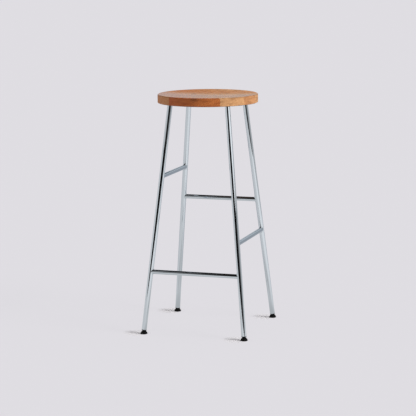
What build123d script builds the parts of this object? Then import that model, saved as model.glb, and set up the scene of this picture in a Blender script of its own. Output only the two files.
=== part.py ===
from build123d import *

import os
from math import asin, cos, radians, sin

os.makedirs("parts", exist_ok=True)

# Bar stool with a solid wood seat on a welded tube frame. The row stands on the floor: the origin is
# under the middle of the seat, +Z is up, and the front (the side with the lowest footrest) is at -Y.
# All lengths are in millimetres.

# Seat: six edge-glued staves with their grain along X, turned to a disc with a shallow dish on top
seat_height = 750.0
seat_diameter = 317.0
seat_thickness = 27.0
seat_top_round = 3.5
seat_bottom_round = 2.5
dish_depth = 5.0
dish_diameter = 294.0
stave_width = 63.0
first_joint_y = -135.0
stave_count = 6

# Flat steel ring let into the underside of the seat
ring_outer_diameter = 286.0
ring_inner_diameter = 226.0
ring_thickness = 4.0
ring_groove_clearance = 0.3

# Frame tubes: the leg axes stand on a square at the floor and on a smaller one under the ring
leg_diameter = 16.0
leg_wall = 1.5
leg_axis_half_square_at_floor = 165.9
leg_axis_half_square_at_ring = 93.5
footrest_diameter = 14.0
footrest_wall = 1.5
lowest_footrest_height = 198.0
footrest_step = 100.0
leg_weld_size = 1.6
footrest_weld_size = 4.0
edge_break = 0.4

# M6 countersunk screws in brass inserts, one between each two legs
screw_circle_diameter = 252.0
screw_count = 4
screw_diameter = 6.0
screw_length = 16.0
screw_head_diameter = 12.0
screw_hole_diameter = 6.4
screw_head_clearance = 0.2
screw_socket_across_flats = 4.0
screw_socket_depth = 2.2
insert_diameter = 10.0
insert_length = 12.0
insert_pocket_depth = 13.0
insert_bore_diameter = 6.1

# Tilting foot glides: a ribbed plug with a ball in the leg's end, and a cone-shaped base with a felt sole
ball_radius = 4.0
ball_clearance = 0.05
ball_height = 7.2
ball_neck_radius = 2.0
glide_free_tilt = 12.0
tilt_spare = 2.0
plug_flange_thickness = 2.0
plug_flange_gap = 4.8
plug_length = 15.0
plug_core_diameter = 11.6
plug_rib_diameter = 13.15
plug_rib_height = 1.4
plug_rib_taper = 12.0
plug_rib_count = 4
base_diameter = 22.6
base_top_diameter = 12.8
base_bottom_height = 0.8
base_top = 10.4
base_brim_height = 2.0
base_bulge = 0.3
sole_diameter = 18.0
sole_thickness = 2.0

# Derived sizes
seat_radius = seat_diameter / 2
seat_underside = seat_height - seat_thickness
frame_top = seat_underside
ring_top = seat_underside + ring_thickness
leg_radius = leg_diameter / 2
footrest_radius = footrest_diameter / 2
lean_per_mm = (leg_axis_half_square_at_floor - leg_axis_half_square_at_ring) / frame_top
overrun = 40.0

CORNERS = {
    "front_left": (-1, -1),
    "front_right": (1, -1),
    "back_left": (-1, 1),
    "back_right": (1, 1),
}

# The footrests climb round the stool in equal steps, from the front by the right to the left
FOOTRESTS = {
    "front": ("front_left", "front_right"),
    "right": ("front_right", "back_right"),
    "back": ("back_right", "back_left"),
    "left": ("back_left", "front_left"),
}


def leg_axis_point(corner, height):
    """The point of a leg's axis at a height above the floor."""
    side_x, side_y = CORNERS[corner]
    half_square = leg_axis_half_square_at_floor - lean_per_mm * height
    return Vector(side_x * half_square, side_y * half_square, height)


def leg_direction(corner):
    """The unit vector up along a leg's axis."""
    return (leg_axis_point(corner, frame_top) - leg_axis_point(corner, 0)).normalized()


def leg_plane(corner, height, along=0.0):
    """A plane square to a leg, through its axis at a height, moved up along the axis."""
    direction = leg_direction(corner)
    return Plane(origin=leg_axis_point(corner, height) + direction * along, z_dir=direction)


def save(piece, name):
    """Labels a finished piece and writes it as one STEP file."""
    piece.label = name
    export_step(piece, f"parts/{name}.step")


def make_stave(low_y, high_y):
    """One board of the seat: the turned, dished and grooved disc between two glue joints."""
    dish_radius = dish_diameter / 2
    with BuildPart() as stave:
        with BuildSketch(Plane.XZ):
            with BuildLine():
                Line((0, seat_underside), (seat_radius - seat_bottom_round, seat_underside))
                RadiusArc(
                    (seat_radius - seat_bottom_round, seat_underside),
                    (seat_radius, seat_underside + seat_bottom_round),
                    -seat_bottom_round,
                )
                Line((seat_radius, seat_underside + seat_bottom_round),
                     (seat_radius, seat_height - seat_top_round))
                RadiusArc(
                    (seat_radius, seat_height - seat_top_round),
                    (seat_radius - seat_top_round, seat_height),
                    -seat_top_round,
                )
                Line((seat_radius - seat_top_round, seat_height), (dish_radius, seat_height))
                dish_arc_radius = (dish_radius**2 + dish_depth**2) / (2 * dish_depth)
                RadiusArc((dish_radius, seat_height), (0, seat_height - dish_depth), dish_arc_radius)
                Line((0, seat_height - dish_depth), (0, seat_underside))
            make_face()
        revolve(axis=Axis.Z)
        split(bisect_by=Plane.XZ.offset(-low_y), keep=Keep.BOTTOM)
        split(bisect_by=Plane.XZ.offset(-high_y), keep=Keep.TOP)
        with BuildSketch(Plane.XY.offset(seat_underside)):
            Circle(ring_outer_diameter / 2 + ring_groove_clearance)
            Circle(ring_inner_diameter / 2 - ring_groove_clearance, mode=Mode.SUBTRACT)
        extrude(amount=ring_thickness, mode=Mode.SUBTRACT)
        with BuildSketch(Plane.XY.offset(ring_top)):
            with PolarLocations(screw_circle_diameter / 2, screw_count):
                Circle(insert_diameter / 2)
        extrude(amount=insert_pocket_depth, mode=Mode.SUBTRACT)
    return stave.part


def make_seat_ring():
    """The flat ring that the legs are welded to, countersunk from below for its screws."""
    underside = Plane(origin=(0, 0, frame_top), x_dir=(1, 0, 0), z_dir=(0, 0, -1))
    with BuildPart() as ring:
        with BuildSketch(Plane.XY.offset(frame_top)):
            Circle(ring_outer_diameter / 2)
            Circle(ring_inner_diameter / 2, mode=Mode.SUBTRACT)
        extrude(amount=ring_thickness)
        chamfer(ring.edges().group_by(Axis.Z)[0], edge_break)
        with Locations(underside):
            with PolarLocations(screw_circle_diameter / 2, screw_count):
                CounterSinkHole(
                    radius=screw_hole_diameter / 2,
                    counter_sink_radius=screw_head_diameter / 2 + screw_head_clearance,
                    depth=ring_thickness,
                    counter_sink_angle=90,
                )
    return ring.part


def make_seat_inserts():
    """The threaded inserts, flush with the floor of the ring's groove."""
    with BuildPart() as inserts:
        with BuildSketch(Plane.XY.offset(ring_top)):
            with PolarLocations(screw_circle_diameter / 2, screw_count):
                Circle(insert_diameter / 2)
        extrude(amount=insert_length)
        chamfer(inserts.edges().group_by(Axis.Z)[-1], 2 * edge_break)
        with BuildSketch(Plane.XY.offset(ring_top)):
            with PolarLocations(screw_circle_diameter / 2, screw_count):
                Circle(insert_bore_diameter / 2)
        extrude(amount=insert_length, mode=Mode.SUBTRACT)
    return inserts.part


def make_seat_screws():
    """The countersunk socket screws, with their heads flush in the ring."""
    head_radius = screw_head_diameter / 2
    shank_radius = screw_diameter / 2
    head_height = head_radius - shank_radius
    with BuildPart() as screws:
        with Locations(Plane.XY.offset(frame_top)):
            with PolarLocations(screw_circle_diameter / 2, screw_count):
                Cone(
                    bottom_radius=head_radius,
                    top_radius=shank_radius,
                    height=head_height,
                    align=(Align.CENTER, Align.CENTER, Align.MIN),
                )
        with BuildSketch(Plane.XY.offset(frame_top + head_height)):
            with PolarLocations(screw_circle_diameter / 2, screw_count):
                Circle(shank_radius)
        extrude(amount=screw_length - head_height)
        chamfer(screws.edges().group_by(Axis.Z)[-1], 2 * edge_break)
        with BuildSketch(Plane.XY.offset(frame_top)):
            with PolarLocations(screw_circle_diameter / 2, screw_count):
                RegularPolygon(screw_socket_across_flats / 2, 6, major_radius=False)
        extrude(amount=screw_socket_depth, mode=Mode.SUBTRACT)
    return screws.part


def make_leg(corner):
    """A round tube, cut square above its glide and cut flat under the ring, with the weld bead there."""
    foot = leg_plane(corner, ball_height, plug_flange_gap + plug_flange_thickness)
    top = leg_axis_point(corner, frame_top)
    length = (top - foot.origin).length + overrun
    with BuildPart() as leg:
        with BuildSketch(foot):
            Circle(leg_radius)
        extrude(amount=length)
        split(bisect_by=Plane.XY.offset(frame_top), keep=Keep.BOTTOM)
        with BuildSketch(Plane.XY.offset(frame_top)):
            with Locations((top.X, top.Y)):
                Circle(leg_diameter)
        extrude(amount=ring_thickness)
        weld_line = leg.edges().filter_by(GeomType.ELLIPSE)
        fillet(weld_line, leg_weld_size)
        split(bisect_by=Plane.XY.offset(frame_top), keep=Keep.BOTTOM)
        with BuildSketch(foot):
            Circle(leg_radius - leg_wall)
        extrude(amount=length, mode=Mode.SUBTRACT)
    return leg.part


def make_footrest(corner_a, corner_b, height):
    """A round bar tube between two legs: coped to fit round them, with a ground weld bead at each end."""
    end_a = leg_axis_point(corner_a, height)
    end_b = leg_axis_point(corner_b, height)
    span = end_b - end_a
    across = Plane(origin=end_a, z_dir=span)
    with BuildPart() as bar:
        for corner in (corner_a, corner_b):
            with BuildSketch(leg_plane(corner, height, -overrun)):
                Circle(leg_radius)
            extrude(amount=2 * overrun)
        with BuildSketch(across):
            Circle(footrest_radius)
        extrude(amount=span.length)
        saddles = bar.edges().filter_by(GeomType.BSPLINE)
        fillet(saddles, footrest_weld_size)
        for corner in (corner_a, corner_b):
            with BuildSketch(leg_plane(corner, height, -2 * overrun)):
                Circle(leg_radius)
            extrude(amount=4 * overrun, mode=Mode.SUBTRACT)
        with BuildSketch(across):
            Circle(footrest_radius - footrest_wall)
        extrude(amount=span.length, mode=Mode.SUBTRACT)
    return bar.part


def make_glide_plug(corner):
    """The ribbed plug in a leg's end, with the flange under the tube and the ball on its neck."""
    direction = leg_direction(corner)
    centre = leg_axis_point(corner, ball_height)
    rib_pitch = plug_length / plug_rib_count
    flange_top = plug_flange_gap + plug_flange_thickness
    with BuildPart() as plug:
        with Locations(Plane(origin=centre, z_dir=direction)):
            Sphere(ball_radius)
        with BuildSketch(leg_plane(corner, ball_height)):
            Circle(ball_neck_radius)
        extrude(amount=plug_flange_gap)
        with BuildSketch(leg_plane(corner, ball_height, plug_flange_gap)):
            Circle(leg_radius)
        flange = extrude(amount=plug_flange_thickness)
        chamfer(flange.edges().filter_by(GeomType.CIRCLE), edge_break)
        with BuildSketch(leg_plane(corner, ball_height, flange_top)):
            Circle(plug_core_diameter / 2)
        extrude(amount=plug_length)
        for rib in range(plug_rib_count):
            rib_foot = flange_top + (rib + 0.5) * rib_pitch
            with BuildSketch(leg_plane(corner, ball_height, rib_foot)):
                Circle(plug_rib_diameter / 2)
            extrude(amount=plug_rib_height, taper=plug_rib_taper)
    return plug.part


def make_glide_base(corner):
    """The cone-shaped base, with a socket that holds the ball and a recess for the sole."""
    centre = leg_axis_point(corner, ball_height)
    upright = Plane(origin=(centre.X, centre.Y, 0), x_dir=(1, 0, 0), z_dir=(0, -1, 0))
    socket_radius = ball_radius + ball_clearance
    lip_angle = asin(ball_neck_radius / ball_radius) + radians(glide_free_tilt + tilt_spare)
    lip_radius = socket_radius * sin(lip_angle)
    lip_height = ball_height + socket_radius * cos(lip_angle)
    brim_radius = base_diameter / 2
    brim_top = base_bottom_height + base_brim_height
    rim_radius = base_top_diameter / 2
    with BuildPart() as base:
        with BuildSketch(upright):
            with BuildLine():
                Polyline(
                    (0, sole_thickness),
                    (sole_diameter / 2, sole_thickness),
                    (sole_diameter / 2, base_bottom_height),
                    (brim_radius - edge_break, base_bottom_height),
                    (brim_radius, base_bottom_height + edge_break),
                    (brim_radius, brim_top),
                )
                ThreePointArc(
                    (brim_radius, brim_top),
                    ((brim_radius + rim_radius) / 2 + base_bulge, (brim_top + base_top) / 2),
                    (rim_radius, base_top - edge_break),
                )
                Polyline(
                    (rim_radius, base_top - edge_break),
                    (rim_radius - edge_break, base_top),
                    (lip_radius + (base_top - lip_height), base_top),
                    (lip_radius, lip_height),
                )
                ThreePointArc(
                    (lip_radius, lip_height),
                    (socket_radius, ball_height),
                    (0, ball_height - socket_radius),
                )
                Line((0, ball_height - socket_radius), (0, sole_thickness))
            make_face()
        revolve(axis=Axis((centre.X, centre.Y, 0), (0, 0, 1)))
    return base.part


def make_glide_sole(corner):
    """The felt disc in the base's recess: the stool stands on these."""
    centre = leg_axis_point(corner, ball_height)
    with BuildPart() as sole:
        with BuildSketch(Plane.XY):
            with Locations((centre.X, centre.Y)):
                Circle(sole_diameter / 2)
        extrude(amount=sole_thickness)
        chamfer(sole.edges().group_by(Axis.Z)[0], edge_break)
    return sole.part


for index in range(stave_count):
    low = first_joint_y + (index - 1) * stave_width
    save(make_stave(low, low + stave_width), f"seat_stave_{index + 1}")

save(make_seat_ring(), "seat_ring")
save(make_seat_inserts(), "seat_inserts")
save(make_seat_screws(), "seat_screws")

for corner in CORNERS:
    save(make_leg(corner), f"leg_{corner}")
    save(make_glide_plug(corner), f"glide_plug_{corner}")
    save(make_glide_base(corner), f"glide_base_{corner}")
    save(make_glide_sole(corner), f"glide_sole_{corner}")

for step, (side, corners) in enumerate(FOOTRESTS.items()):
    save(make_footrest(*corners, lowest_footrest_height + step * footrest_step), f"footrest_{side}")
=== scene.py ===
"""Looks of the bar stool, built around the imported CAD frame.

The stool's own frame: metres, +Z up, the front (lowest footrest) at -Y, wood grain along X.
"""

import math

import bpy
from mathutils import Matrix, Vector


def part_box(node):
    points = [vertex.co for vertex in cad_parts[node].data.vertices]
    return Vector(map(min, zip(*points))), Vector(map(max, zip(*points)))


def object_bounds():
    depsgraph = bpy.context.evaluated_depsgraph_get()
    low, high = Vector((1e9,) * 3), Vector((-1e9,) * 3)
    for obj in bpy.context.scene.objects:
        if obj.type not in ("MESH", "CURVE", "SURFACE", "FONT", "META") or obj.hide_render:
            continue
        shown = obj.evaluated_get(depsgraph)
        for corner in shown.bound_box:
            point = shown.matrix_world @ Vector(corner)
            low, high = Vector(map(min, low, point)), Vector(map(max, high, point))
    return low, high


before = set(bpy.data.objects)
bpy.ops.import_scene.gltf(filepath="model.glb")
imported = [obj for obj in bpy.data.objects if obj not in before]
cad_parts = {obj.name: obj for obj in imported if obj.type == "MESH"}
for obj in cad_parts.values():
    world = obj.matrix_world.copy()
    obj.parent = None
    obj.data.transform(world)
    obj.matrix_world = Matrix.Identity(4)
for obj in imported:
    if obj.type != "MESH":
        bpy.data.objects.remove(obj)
cad_low, cad_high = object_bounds()

# ---------------------------------------------------------------- sizes, read from the frame
SEAT_STAVES = sorted(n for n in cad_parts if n.startswith("seat_stave_"))
CHROME_NODES = [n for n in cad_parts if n.startswith(("leg_", "footrest_"))]
SOLE_NODES = sorted(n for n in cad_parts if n.startswith("glide_sole_"))
FEET = [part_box(node)[0].lerp(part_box(node)[1], 0.5).xy.to_3d() for node in SOLE_NODES]
seat_top = cad_high.z
seat_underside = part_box("seat_stave_3")[0].z

# ---------------------------------------------------------------- photograph's point of view
CAMERA_AZIMUTH = math.radians(17.85)
CAMERA_DISTANCE = 5.182
CAMERA_HEIGHT = 1.2437
CAMERA_PITCH = 0.1644
CAMERA_ROLL = -0.0079
CAMERA_LENS_MM = 142.5
CAMERA_SHIFT_X = -0.0016

BACKGROUND = (0.737, 0.723, 0.761)


def direction(azimuth, elevation=0.0):
    """Unit vector from the stool; azimuth in radians from the front (-Y), positive to the right."""
    flat = math.cos(elevation)
    return Vector((math.sin(azimuth) * flat, -math.cos(azimuth) * flat, math.sin(elevation)))


# ---------------------------------------------------------------- node helpers
class Nodes:
    """A material's or world's node tree, with short calls that add and link nodes."""

    def __init__(self, owner):
        owner.use_nodes = True
        self.tree = owner.node_tree
        self.tree.nodes.clear()

    def add(self, kind, inputs=None, **settings):
        node = self.tree.nodes.new(kind)
        for key, value in settings.items():
            setattr(node, key, value)
        for key, value in (inputs or {}).items():
            self.put(node.inputs[key], value)
        return node

    def put(self, socket, value):
        if isinstance(value, bpy.types.NodeSocket):
            self.tree.links.new(value, socket)
        else:
            socket.default_value = value

    def math(self, operation, a, b=0.0, c=0.0):
        node = self.add("ShaderNodeMath", operation=operation)
        for index, value in enumerate((a, b, c)):
            self.put(node.inputs[index], value)
        return node.outputs[0]

    def mix(self, factor, a, b):
        """a where factor is 0, b where it is 1; both are colours."""
        node = self.add("ShaderNodeMix", data_type="RGBA")
        self.put(node.inputs[0], factor)
        self.put(node.inputs[6], a)
        self.put(node.inputs[7], b)
        return node.outputs[2]

    def ramp(self, value, *stops):
        """stops are (place, grey or colour)."""
        node = self.add("ShaderNodeValToRGB", {"Fac": value})
        elements = node.color_ramp.elements
        while len(elements) < len(stops):
            elements.new(0.5)
        for element, (place, shade) in zip(elements, stops):
            element.position = place
            element.color = (*shade, 1) if isinstance(shade, tuple) else (shade, shade, shade, 1)
        return node.outputs[0]

    def between(self, value, low, high):
        """0 up to low, 1 from high, smooth between them."""
        node = self.add(
            "ShaderNodeMapRange", {"Value": value, "From Min": low, "From Max": high},
            interpolation_type="SMOOTHSTEP",
        )
        return node.outputs[0]

    def noise(self, vector, scale, detail=2.0, roughness=0.5):
        inputs = {"Vector": vector, "Scale": scale, "Detail": detail, "Roughness": roughness}
        return self.add("ShaderNodeTexNoise", inputs).outputs[0]

    def stretched(self, vector, scale, location=(0, 0, 0)):
        inputs = {"Vector": vector, "Scale": scale, "Location": location}
        return self.add("ShaderNodeMapping", inputs).outputs[0]

    def place(self):
        return self.add("ShaderNodeTexCoord").outputs["Object"]

    def parts(self, vector):
        return self.add("ShaderNodeSeparateXYZ", {"Vector": vector}).outputs

    def distance(self, vector, point):
        node = self.add("ShaderNodeVectorMath", {0: vector, 1: point}, operation="DISTANCE")
        return node.outputs["Value"]

    def bump(self, height, strength, distance):
        return self.add(
            "ShaderNodeBump", {"Height": height, "Strength": strength, "Distance": distance}
        ).outputs[0]

    def finish(self, shader, kind="ShaderNodeOutputMaterial"):
        self.tree.links.new(shader.outputs[0], self.add(kind).inputs["Surface"])


def new_material(name):
    material = bpy.data.materials.new(name)
    return material, Nodes(material)


# ---------------------------------------------------------------- materials
def chrome_material():
    """Bright chrome plate: a faint orange peel and thin smears."""
    material, n = new_material("bright_chrome")
    place = n.place()
    peel = n.noise(place, 140.0, 3.0)
    smear = n.noise(n.stretched(place, (30, 30, 9)), 1.0, 3.0)
    rough = n.ramp(smear, (0.35, 0.025), (0.75, 0.055))
    tint = n.mix(smear, (0.545, 0.590, 0.630, 1), (0.575, 0.615, 0.655, 1))
    shader = n.add(
        "ShaderNodeBsdfPrincipled",
        {"Base Color": tint, "Metallic": 1.0, "Roughness": rough,
         "Normal": n.bump(peel, 0.05, 0.0004)},
    )
    n.finish(shader)
    return material


def metal_material(name, colour, roughness):
    """Plated screws and inserts: satin, with a little cloudiness."""
    material, n = new_material(name)
    place = n.place()
    cloud = n.noise(place, 60.0, 4.0)
    fine = n.noise(place, 2500.0, 2.0)
    darker = tuple(0.82 * c for c in colour)
    shader = n.add(
        "ShaderNodeBsdfPrincipled",
        {"Base Color": n.mix(cloud, (*darker, 1), (*colour, 1)), "Metallic": 1.0,
         "Roughness": n.ramp(cloud, (0.3, roughness * 0.8), (0.7, roughness * 1.3)),
         "Normal": n.bump(fine, 0.15, 0.0001)},
    )
    n.finish(shader)
    return material


def powder_coat_material():
    """Black powder coat: a fine pebbled skin, slightly glossy."""
    material, n = new_material("black_powder_coat")
    place = n.place()
    pebble = n.noise(place, 1400.0, 2.0)
    wear = n.noise(place, 35.0, 4.0)
    shader = n.add(
        "ShaderNodeBsdfPrincipled",
        {"Base Color": n.mix(wear, (0.010, 0.010, 0.011, 1), (0.022, 0.022, 0.023, 1)),
         "Roughness": n.ramp(wear, (0.3, 0.42), (0.7, 0.56)),
         "Normal": n.bump(pebble, 0.4, 0.0002)},
    )
    n.finish(shader)
    return material


def plastic_material():
    """Black moulded plastic with a fine grain and a few scuffs."""
    material, n = new_material("black_glide_plastic")
    place = n.place()
    grain = n.noise(place, 3200.0, 2.0)
    scuff = n.noise(n.stretched(place, (300, 300, 60)), 1.0, 4.0)
    shader = n.add(
        "ShaderNodeBsdfPrincipled",
        {"Base Color": n.mix(scuff, (0.0015, 0.0015, 0.0018, 1), (0.006, 0.006, 0.0065, 1)),
         "Roughness": n.ramp(scuff, (0.35, 0.42), (0.7, 0.60)), "Specular IOR Level": 0.1,
         "Normal": n.bump(grain, 0.25, 0.0001)},
    )
    n.finish(shader)
    return material


def felt_material():
    """Dense grey needled felt."""
    material, n = new_material("grey_felt")
    place = n.place()
    fibres = n.noise(n.stretched(place, (900, 900, 300)), 1.0, 6.0, 0.7)
    shader = n.add(
        "ShaderNodeBsdfPrincipled",
        {"Base Color": n.mix(fibres, (0.035, 0.035, 0.037, 1), (0.12, 0.12, 0.125, 1)),
         "Roughness": 0.95, "Sheen Weight": 0.3, "Normal": n.bump(fibres, 0.7, 0.0006)},
    )
    n.finish(shader)
    return material


RING_SPACING = 0.0034
KNOT_SQUEEZE = 0.45  # a knot is drawn out along the grain


def wood_material(name, seed, deep, pale, knot=None):
    """Lacquered hardwood with its grain along X: growth rings round a pith, pores and rays.

    deep and pale are the late wood's two colours; knot is a point and the radius of its heart.
    """
    material, n = new_material(name)
    place = n.place()
    # each board comes from another place in the tree
    shifted = n.stretched(place, (1, 1, 1), (0.37 * seed, 0.0, 0.0))
    wander = n.noise(n.stretched(shifted, (5, 16, 16), (seed, seed, seed)), 1.0, 2.0)
    x, y, z = n.parts(place)
    pith_y = 0.16 * math.sin(2.4 * seed)
    pith_z = seat_underside - 0.05 - 0.03 * math.cos(1.7 * seed)
    across = n.math("SUBTRACT", y, pith_y)
    above = n.math("SUBTRACT", z, pith_z)
    squares = n.math("ADD", n.math("MULTIPLY", across, across), n.math("MULTIPLY", above, above))
    radius = n.math("ADD", n.math("SQRT", squares), n.math("MULTIPLY", wander, 0.035))
    if knot:
        # the rings bend round the knot
        point, size = knot
        squeezed = n.stretched(place, (KNOT_SQUEEZE, 1, 1))
        from_knot = n.distance(squeezed, (KNOT_SQUEEZE * point[0], point[1], point[2]))
        bend = n.math("SUBTRACT", 1.0, n.between(from_knot, 0.0, 2.6 * size))
        radius = n.math("ADD", radius, n.math("MULTIPLY", bend, 1.5 * size))
    ring = n.math("FRACT", n.math("MULTIPLY", radius, 1 / RING_SPACING))
    early = n.ramp(ring, (0.0, 1.0), (0.16, 0.75), (0.40, 0.1), (0.85, 0.0), (1.0, 1.0))
    # pores are long thin dashes, mostly in the early wood
    dashes = n.noise(n.stretched(shifted, (30, 1500, 1500)), 1.0, 2.0, 0.6)
    pores = n.ramp(dashes, (0.60, 0.0), (0.68, 1.0))
    pores = n.math("MULTIPLY", pores, n.math("ADD", n.math("MULTIPLY", early, 0.8), 0.2))
    streaks = n.noise(n.stretched(shifted, (3, 130, 130)), 1.0, 4.0, 0.6)
    patches = n.noise(n.stretched(shifted, (4, 14, 14)), 1.0, 2.0)
    # rays are pale flecks that run out from the pith
    round_pith = n.math("ARCTAN2", above, across)
    spoke = n.add(
        "ShaderNodeCombineXYZ",
        {"X": n.math("MULTIPLY", round_pith, 60.0), "Y": n.math("MULTIPLY", x, 60.0),
         "Z": n.math("MULTIPLY", radius, 25.0)},
    )
    rays = n.ramp(n.noise(spoke.outputs[0], 1.0, 2.0), (0.62, 0.0), (0.72, 1.0))
    late = n.mix(streaks, (*deep, 1), (*pale, 1))
    body = n.mix(n.math("MULTIPLY", early, 0.45), late, (*[0.62 * c for c in deep], 1))
    body = n.mix(n.ramp(patches, (0.3, 0.0), (0.75, 0.35)), body, (*pale, 1))
    blotches = n.noise(n.stretched(shifted, (34, 34, 130)), 1.0, 2.0)
    body = n.mix(n.ramp(blotches, (0.45, 0.0), (0.72, 0.6)), body, (*[0.7 * c for c in deep], 1))
    body = n.mix(n.math("MULTIPLY", rays, 0.16), body, (*[min(1, 1.35 * c) for c in pale], 1))
    # the boards are redder towards their left ends, which is the wood's tone, and darker there,
    # which is painted shade on the side away from the key light
    redder_shaded_end = (deep[0], 0.80 * deep[1], 0.60 * deep[2], 1)
    body = n.mix(n.math("MULTIPLY", n.between(x, 0.10, -0.15), 0.7), body, redder_shaded_end)
    colour = n.mix(n.math("MULTIPLY", pores, 0.6), body, (*[0.30 * c for c in deep], 1))
    if knot:
        ragged = n.math("ADD", from_knot, n.math("MULTIPLY", streaks, size))
        heart = n.math("SUBTRACT", 1.0, n.between(ragged, 0.3 * size, 1.7 * size))
        colour = n.mix(n.math("MULTIPLY", heart, 0.75), colour, (*[0.28 * c for c in deep], 1))
    # painted shade darkens the underside nearly to black, and wraps a little way up the lower edge
    painted_underside_shade = n.math("SUBTRACT", 1.0, n.between(z, seat_underside + 0.0003, seat_underside + 0.0012))
    colour = n.mix(n.math("MULTIPLY", painted_underside_shade, 0.85), colour, (0.020, 0.012, 0.008, 1))
    relief = n.math("SUBTRACT", n.math("MULTIPLY", streaks, 0.3), pores)
    # polished on top, most of all towards the front, and duller round the rim and underneath
    facing_up = n.parts(n.add("ShaderNodeNewGeometry").outputs["Normal"])[2]
    dull = n.math("ADD", n.ramp(facing_up, (0.3, 0.40), (0.9, 0.0)),
                  n.math("MULTIPLY", n.between(y, -0.03, 0.09), 0.30))
    roughness = n.math("ADD", n.ramp(streaks, (0.3, 0.14), (0.7, 0.22)), dull)
    # painted shade darkens the rounded upper edge
    painted_edge_shade = n.ramp(facing_up, (0.15, 0.0), (0.4, 0.34), (0.8, 0.34), (0.97, 0.0))
    colour = n.mix(painted_edge_shade, colour, (0.05, 0.02, 0.008, 1))
    shader = n.add(
        "ShaderNodeBsdfPrincipled",
        {"Base Color": colour, "Roughness": roughness, "Specular IOR Level": 0.35,
         "Normal": n.bump(relief, 0.35, 0.00015)},
    )
    n.finish(shader)
    return material


# ---------------------------------------------------------------- the object
def paint(node, material):
    """Puts a material in every slot of one CAD node."""
    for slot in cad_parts[node].material_slots:
        slot.material = material


chrome = chrome_material()
for node in CHROME_NODES:
    paint(node, chrome)
paint("seat_ring", powder_coat_material())
paint("seat_screws", metal_material("zinc_screws", (0.55, 0.55, 0.54), 0.30))
paint("seat_inserts", metal_material("insert_brass_metal", (0.62, 0.42, 0.16), 0.28))
plastic = plastic_material()
felt = felt_material()
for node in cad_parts:
    if node.startswith(("glide_plug_", "glide_base_")):
        paint(node, plastic)
    if node.startswith("glide_sole_"):
        paint(node, felt)

# the front board is the reddest and darkest, with a knot in its rim; another is in the fourth
RED = ((0.31, 0.070, 0.010), (0.54, 0.180, 0.048))
TAN = ((0.35, 0.150, 0.052), (0.62, 0.345, 0.165))
AMBER = ((0.34, 0.130, 0.042), (0.60, 0.300, 0.135))
STAVE_COLOURS = (RED, TAN, AMBER, TAN, AMBER, TAN)
KNOTS = {
    0: ((0.008, -0.160, seat_top - 0.005), 0.010),
    3: ((-0.055, 0.030, seat_top - 0.004), 0.007),
}
for index, node in enumerate(SEAT_STAVES):
    deep, pale = STAVE_COLOURS[index]
    paint(node, wood_material(f"wood_{index + 1}", index + 1.3, deep, pale, KNOTS.get(index)))


# ---------------------------------------------------------------- studio
# the floor's share that takes shadows, near the feet and away from them
SHADOW_NEAR = 0.95
SHADOW_FAR = 0.10
# that share is high inside this radius, round a point this far from the foot, away from the key
SHADOW_REACH = 0.052
SHADOW_SHIFT = 0.028
FLOOR_WHITE = 0.785
KEY_AZIMUTH = 63
PAPER_FRONT = 2.1
PAPER_LEFT = -12
PAPER_RIGHT = 3.4
LIP_HEIGHT = 0.055


def around(n, *stops):
    """A shade by the direction from the stool: stops are (degrees from the camera, shade)."""
    x, y, z = n.parts(n.place())
    angle = n.math("ARCTAN2", x, n.math("MULTIPLY", y, -1.0))
    turn = n.math("MULTIPLY_ADD", angle, 1 / math.tau, 0.5 - CAMERA_AZIMUTH / math.tau)
    turned_stops = [(degrees / 360 + 0.5, shade) for degrees, shade in stops]
    return n.ramp(n.math("FRACT", turn), *turned_stops)


def glow_material(name, *stops):
    """Light that changes round the stool, as around() says."""
    material, n = new_material(name)
    n.finish(n.add("ShaderNodeEmission", {"Color": around(n, *stops)}))
    return material


def foot_nearness(n, near, far, offset=Vector((0, 0, 0))):
    """1 within near of a point by a foot, 0 beyond far."""
    place = n.place()
    nearest = 0.0
    for foot in FEET:
        nearness = n.between(n.distance(place, foot + offset), far, near)
        nearest = n.math("MAXIMUM", nearest, nearness)
    return nearest


def paper_material():
    """The lit paper under the stool: brightest towards the key light, dim behind the stool."""
    material, n = new_material("paper_light")
    open_paper = around(
        n, (-180, (0.38, 0.41, 0.46)), (-150, (0.42, 0.45, 0.50)), (-120, 0.84), (-30, 0.86),
        (0, 1.04), (28, 1.15), (60, 1.12), (110, 1.03), (135, (0.40, 0.43, 0.48)),
    )
    radius = n.distance(n.place(), (0, 0, 0))
    open_paper = n.mix(n.between(radius, 0.25, 1.0), (0.90, 0.90, 0.90, 1), open_paper)
    # painted shadow: the paper is darker round each foot
    shade = n.math("MULTIPLY", foot_nearness(n, 0.03, 0.30), 0.25)
    n.finish(n.add("ShaderNodeEmission", {"Color": n.mix(shade, open_paper, (0, 0, 0, 1))}))
    return material


def fading_material(name, fade_from, fade_to, low_share, high_share, *stops):
    """Light that changes round the stool and also with height, between two heights."""
    material, n = new_material(name)
    height = n.parts(n.place())[2]
    rise = n.between(height, fade_from, fade_to)
    strength = n.math("MULTIPLY_ADD", rise, high_share - low_share, low_share)
    n.finish(n.add("ShaderNodeEmission", {"Color": around(n, *stops), "Strength": strength}))
    return material


def sheet_object(name, corners, material, camera=False, glossy=True, diffuse=False):
    """A flat studio card from its corner points, which isn't part of the object."""
    mesh = bpy.data.meshes.new(name)
    mesh.from_pydata([tuple(c) for c in corners], [], [tuple(range(len(corners)))])
    card = bpy.data.objects.new(name, mesh)
    bpy.context.scene.collection.objects.link(card)
    mesh.materials.append(material)
    card.visible_camera = camera
    card.visible_glossy = glossy
    card.visible_diffuse = diffuse
    card.visible_shadow = False


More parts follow.
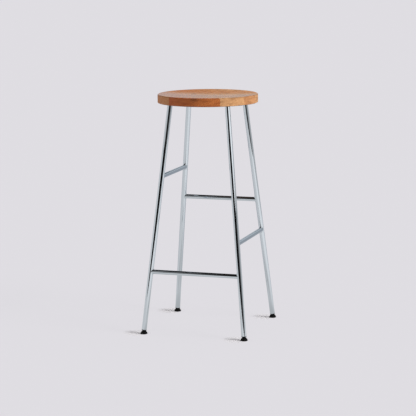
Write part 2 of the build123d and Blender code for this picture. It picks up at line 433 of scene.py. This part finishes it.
def floor_material():
    """The pale sheet as the camera sees it: its own even light, and a share that takes shadows.

    The shadows are kept close to the feet, and the sheet can't be seen from below.
    """
    material, n = new_material("pale_floor")
    away_from_key = direction(CAMERA_AZIMUTH + math.radians(KEY_AZIMUTH)) * -SHADOW_SHIFT
    nearness = foot_nearness(n, 0.3 * SHADOW_REACH, SHADOW_REACH, away_from_key)
    share = n.math("MULTIPLY_ADD", nearness, SHADOW_NEAR - SHADOW_FAR, SHADOW_FAR)
    white = (*[c * FLOOR_WHITE for c in BACKGROUND], 1)
    cloth = n.add("ShaderNodeBsdfDiffuse", {"Color": n.mix(share, (0, 0, 0, 1), white)})
    glow = n.add("ShaderNodeEmission", {"Color": n.mix(share, (*BACKGROUND, 1), (0, 0, 0, 1))})
    both = n.add("ShaderNodeAddShader")
    n.tree.links.new(glow.outputs[0], both.inputs[0])
    n.tree.links.new(cloth.outputs[0], both.inputs[1])
    below = n.add("ShaderNodeNewGeometry").outputs["Backfacing"]
    one_sided = n.add("ShaderNodeMixShader", {"Fac": below})
    n.tree.links.new(both.outputs[0], one_sided.inputs[1])
    n.tree.links.new(n.add("ShaderNodeBsdfTransparent").outputs[0], one_sided.inputs[2])
    n.finish(one_sided)
    return material


def wall(name, azimuth_from, azimuth_to, low, high, distance, material):
    """An upright bent card round the stool between two azimuths from the camera, in degrees."""
    steps = max(1, round(abs(azimuth_to - azimuth_from) / 15))
    swing = azimuth_to - azimuth_from
    for step in range(steps):
        a = CAMERA_AZIMUTH + math.radians(azimuth_from + swing * step / steps)
        b = CAMERA_AZIMUTH + math.radians(azimuth_from + swing * (step + 1) / steps)
        left, right = direction(a) * distance, direction(b) * distance
        up_low, up_high = Vector((0, 0, low)), Vector((0, 0, high))
        corners = [left + up_low, right + up_low, right + up_high, left + up_high]
        sheet_object(f"{name}_{step}", corners, material)


def studio_point(aside, toward, height):
    """A point by its distance to the camera's right, towards the camera and up."""
    ahead = direction(CAMERA_AZIMUTH)
    right = Vector((-ahead.y, ahead.x, 0))
    return right * aside + ahead * toward + Vector((0, 0, height))


def level_sheet(name, left, right, front, back, height, material, **seen):
    corners = [studio_point(left, front, height), studio_point(right, front, height),
               studio_point(right, back, height), studio_point(left, back, height)]
    sheet_object(name, corners, material, **seen)


level_sheet("floor", -60, 60, 40, -60, 0.0, floor_material(), camera=True, glossy=False)
paper = paper_material()
level_sheet("paper", PAPER_LEFT, PAPER_RIGHT, PAPER_FRONT, -7, -0.0005, paper, diffuse=True)
lip_corners = [
    studio_point(PAPER_LEFT, PAPER_FRONT, 0),
    studio_point(PAPER_RIGHT, PAPER_FRONT, 0),
    studio_point(PAPER_RIGHT, PAPER_FRONT, LIP_HEIGHT),
    studio_point(PAPER_LEFT, PAPER_FRONT, LIP_HEIGHT),
]
sheet_object("paper_lip", lip_corners, paper)
room = glow_material(
    "room_light", (-180, 0.4), (-100, 0.3), (-60, 0.02), (20, 0.02), (41, 0.20),
    (61, 0.42), (89, 0.66), (125, 0.75), (180, 0.4),
)
level_sheet("room_floor", -15, 15, 15, -15, -0.01, room)
wall("room_wall", 20, 125, 0.0, 0.9, 6.0, room)
backdrop = fading_material(
    "backdrop_light", 1.1, 2.0, 0.68, 1.0, (-180, (0.57, 0.62, 0.67)),
    (-130, (0.62, 0.66, 0.70)), (118, (0.72, 0.75, 0.78)), (135, (0.57, 0.62, 0.67)),
)
wall("backdrop", 118, 242, 0.0, 3.0, 7.0, backdrop)
overhead = glow_material("overhead_light", (0, 0.9), (180, 0.7))
level_sheet("overhead", 1.2, 5.5, 1.5, -3.5, 3.4, overhead)
HIGH_LEFT_FROM = 0.75
HIGH_LEFT_TO = 3.4
high_left = fading_material(
    "high_left_light", HIGH_LEFT_FROM, HIGH_LEFT_TO, 0.66, 0.0, (-43, 1.0), (-34.5, 0.0)
)
high_left_corners = [
    studio_point(-3.2, 0.6, HIGH_LEFT_FROM),
    studio_point(-1.33, 2.05, HIGH_LEFT_FROM),
    studio_point(-1.33, 2.05, HIGH_LEFT_TO),
    studio_point(-3.2, 0.6, HIGH_LEFT_TO),
]
sheet_object("high_left_card", high_left_corners, high_left)
left_light = glow_material("left_light", (-130, 0.85), (-60, 0.95))
wall("left_card", -130, -54, 0.0, 5.0, 6.0, left_light)
key_light = glow_material("key_light", (22, 1.1), (41, 1.3), (60, 1.4), (95, 1.2))
wall("key_card", 22, 95, 0.95, 5.0, 5.8, key_light)


def sun(name, azimuth, elevation, strength, spread, colour=(1, 1, 1)):
    """A broad soft light from far off; azimuth from the camera, all angles in degrees."""
    light = bpy.data.lights.new(name, "SUN")
    light.energy = strength
    light.angle = math.radians(spread)
    light.color = colour
    lamp = bpy.data.objects.new(name, light)
    bpy.context.scene.collection.objects.link(lamp)
    toward = direction(CAMERA_AZIMUTH + math.radians(azimuth), math.radians(elevation))
    lamp.rotation_euler = toward.to_track_quat("Z", "Y").to_euler()
    lamp.visible_glossy = False
    return light


sun("key", KEY_AZIMUTH, 32, 3.55, 28, (1.0, 0.985, 0.96))
sun("top", 40, 75, 2.0, 80).use_shadow = False
sun("left_fill", -100, 15, 1.15, 60, (1.0, 0.93, 0.86))

world = bpy.data.worlds.new("studio")
bpy.context.scene.world = world
n = Nodes(world)
ray = n.add("ShaderNodeLightPath")
seen = n.add("ShaderNodeBackground", {"Color": (*BACKGROUND, 1), "Strength": 1.0})
dark = n.add("ShaderNodeBackground", {"Color": (0.003, 0.003, 0.0034, 1), "Strength": 1.0})
mixed = n.add("ShaderNodeMixShader", {"Fac": ray.outputs["Is Camera Ray"]})
n.tree.links.new(dark.outputs[0], mixed.inputs[1])
n.tree.links.new(seen.outputs[0], mixed.inputs[2])
n.finish(mixed, "ShaderNodeOutputWorld")

# ---------------------------------------------------------------- camera
camera_data = bpy.data.cameras.new("camera")
camera = bpy.data.objects.new("camera", camera_data)
bpy.context.scene.collection.objects.link(camera)
bpy.context.scene.camera = camera
camera_data.sensor_width = 36.0
camera_data.lens = CAMERA_LENS_MM
camera_data.shift_x = CAMERA_SHIFT_X
camera_data.clip_end = 200.0
toward_camera = direction(CAMERA_AZIMUTH)
look = -toward_camera * math.cos(CAMERA_PITCH) - Vector((0, 0, math.sin(CAMERA_PITCH)))
side = Vector((-toward_camera.y, toward_camera.x, 0))
upward = side.cross(look)
rolled_side = side * math.cos(CAMERA_ROLL) + upward * math.sin(CAMERA_ROLL)
rolled_up = upward * math.cos(CAMERA_ROLL) - side * math.sin(CAMERA_ROLL)
turn = Matrix((rolled_side, rolled_up, -look)).transposed()
stand = studio_point(0, CAMERA_DISTANCE, CAMERA_HEIGHT)
camera.matrix_world = Matrix.Translation(stand) @ turn.to_4x4()

bpy.context.scene.view_settings.view_transform = "Standard"
